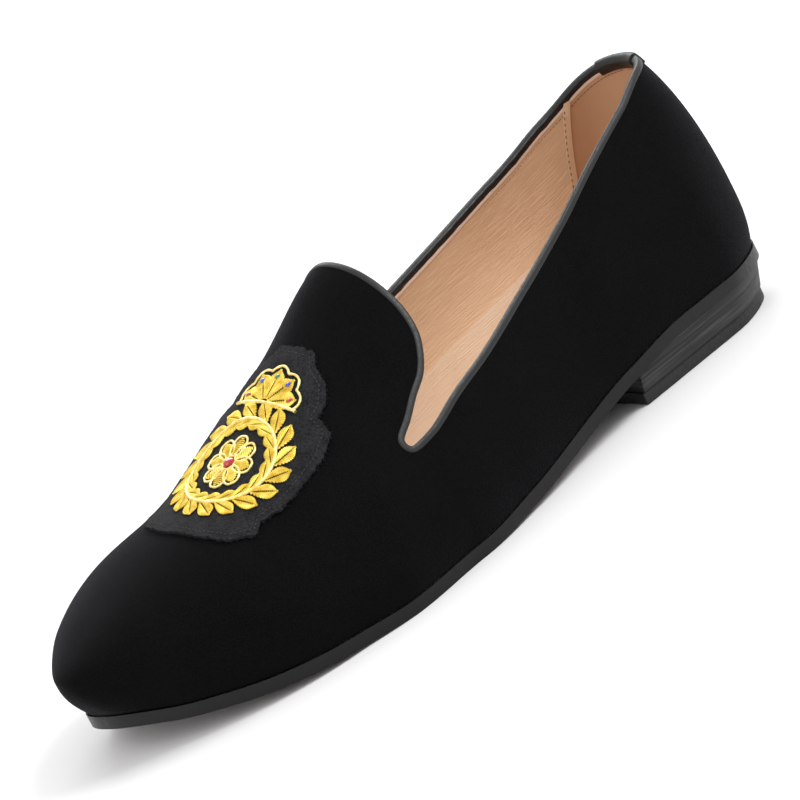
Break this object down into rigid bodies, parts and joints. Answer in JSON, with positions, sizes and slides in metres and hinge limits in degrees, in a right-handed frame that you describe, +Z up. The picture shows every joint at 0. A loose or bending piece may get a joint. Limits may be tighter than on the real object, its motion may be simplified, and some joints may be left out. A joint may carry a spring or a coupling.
{
  "type": "velvet slipper loafer",
  "caption": "Left smoking-slipper loafer in black velvet: hollow upper with bound topline, high tongue and felt badge, leather sole with toe spring and a low stacked heel.",
  "frame": {"origin": "on the floor, under the middle of the shoe's box", "axes": "+X to the shoe's outer side, +Y from toe to heel, +Z up"},
  "size_m": [0.1049, 0.29, 0.091],
  "materials": {
    "velvet": "napped",
    "lining": "satin",
    "binding": "satin",
    "sole_leather": "gloss",
    "heel_leather": "satin",
    "heel_rubber": "matte",
    "felt": "matte",
    "gold_thread": "metallic"
  },
  "bodies": {
    "root": {"upper": "velvet", "outsole": "sole_leather", "insole": "lining", "heel_stack": "heel_leather", "heel_top_piece": "heel_rubber", "topline_binding": "binding", "back_tab": "binding", "badge_patch": "felt", "badge_wreath": "gold_thread", "badge_flower": "gold_thread", "badge_fan": "gold_thread"}
  },
  "joints": []
}
